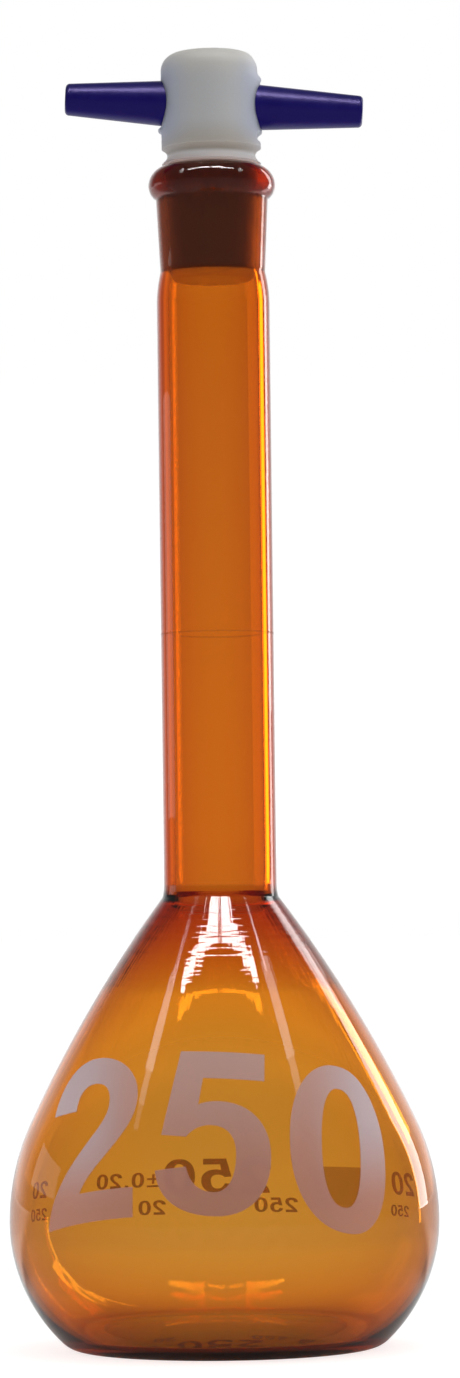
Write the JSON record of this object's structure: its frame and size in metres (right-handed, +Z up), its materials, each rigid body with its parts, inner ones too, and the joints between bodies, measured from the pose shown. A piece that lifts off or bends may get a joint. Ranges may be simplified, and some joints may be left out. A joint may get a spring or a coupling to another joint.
{
  "type": "volumetric flask",
  "caption": "Amber glass volumetric flask: pear-shaped bulb with a flat foot, long neck with a ring mark, ground socket, and a white plug stopper with a cross handle.",
  "frame": {"origin": "on the flask's axis, in the plane that it stands on", "axes": "+Z up along the neck; the cross handle lies along X"},
  "size_m": [0.08, 0.08, 0.2413],
  "materials": {
    "amber_glass": "polished",
    "enamel": "satin",
    "white_polymer": "satin",
    "violet_plastic": "satin"
  },
  "bodies": {
    "flask": {"bulb": "amber_glass", "neck_tube": "amber_glass", "ground_socket": "amber_glass", "ring_mark": "enamel"},
    "stopper": {"stopper_plug": "white_polymer", "cross_handle": "violet_plastic"}
  },
  "joints": [
    {"name": "stopper_lift", "type": "slide", "parent": "flask", "child": "stopper", "axis": [0, 0, 1], "range_m": [0, 0.045]}
  ]
}
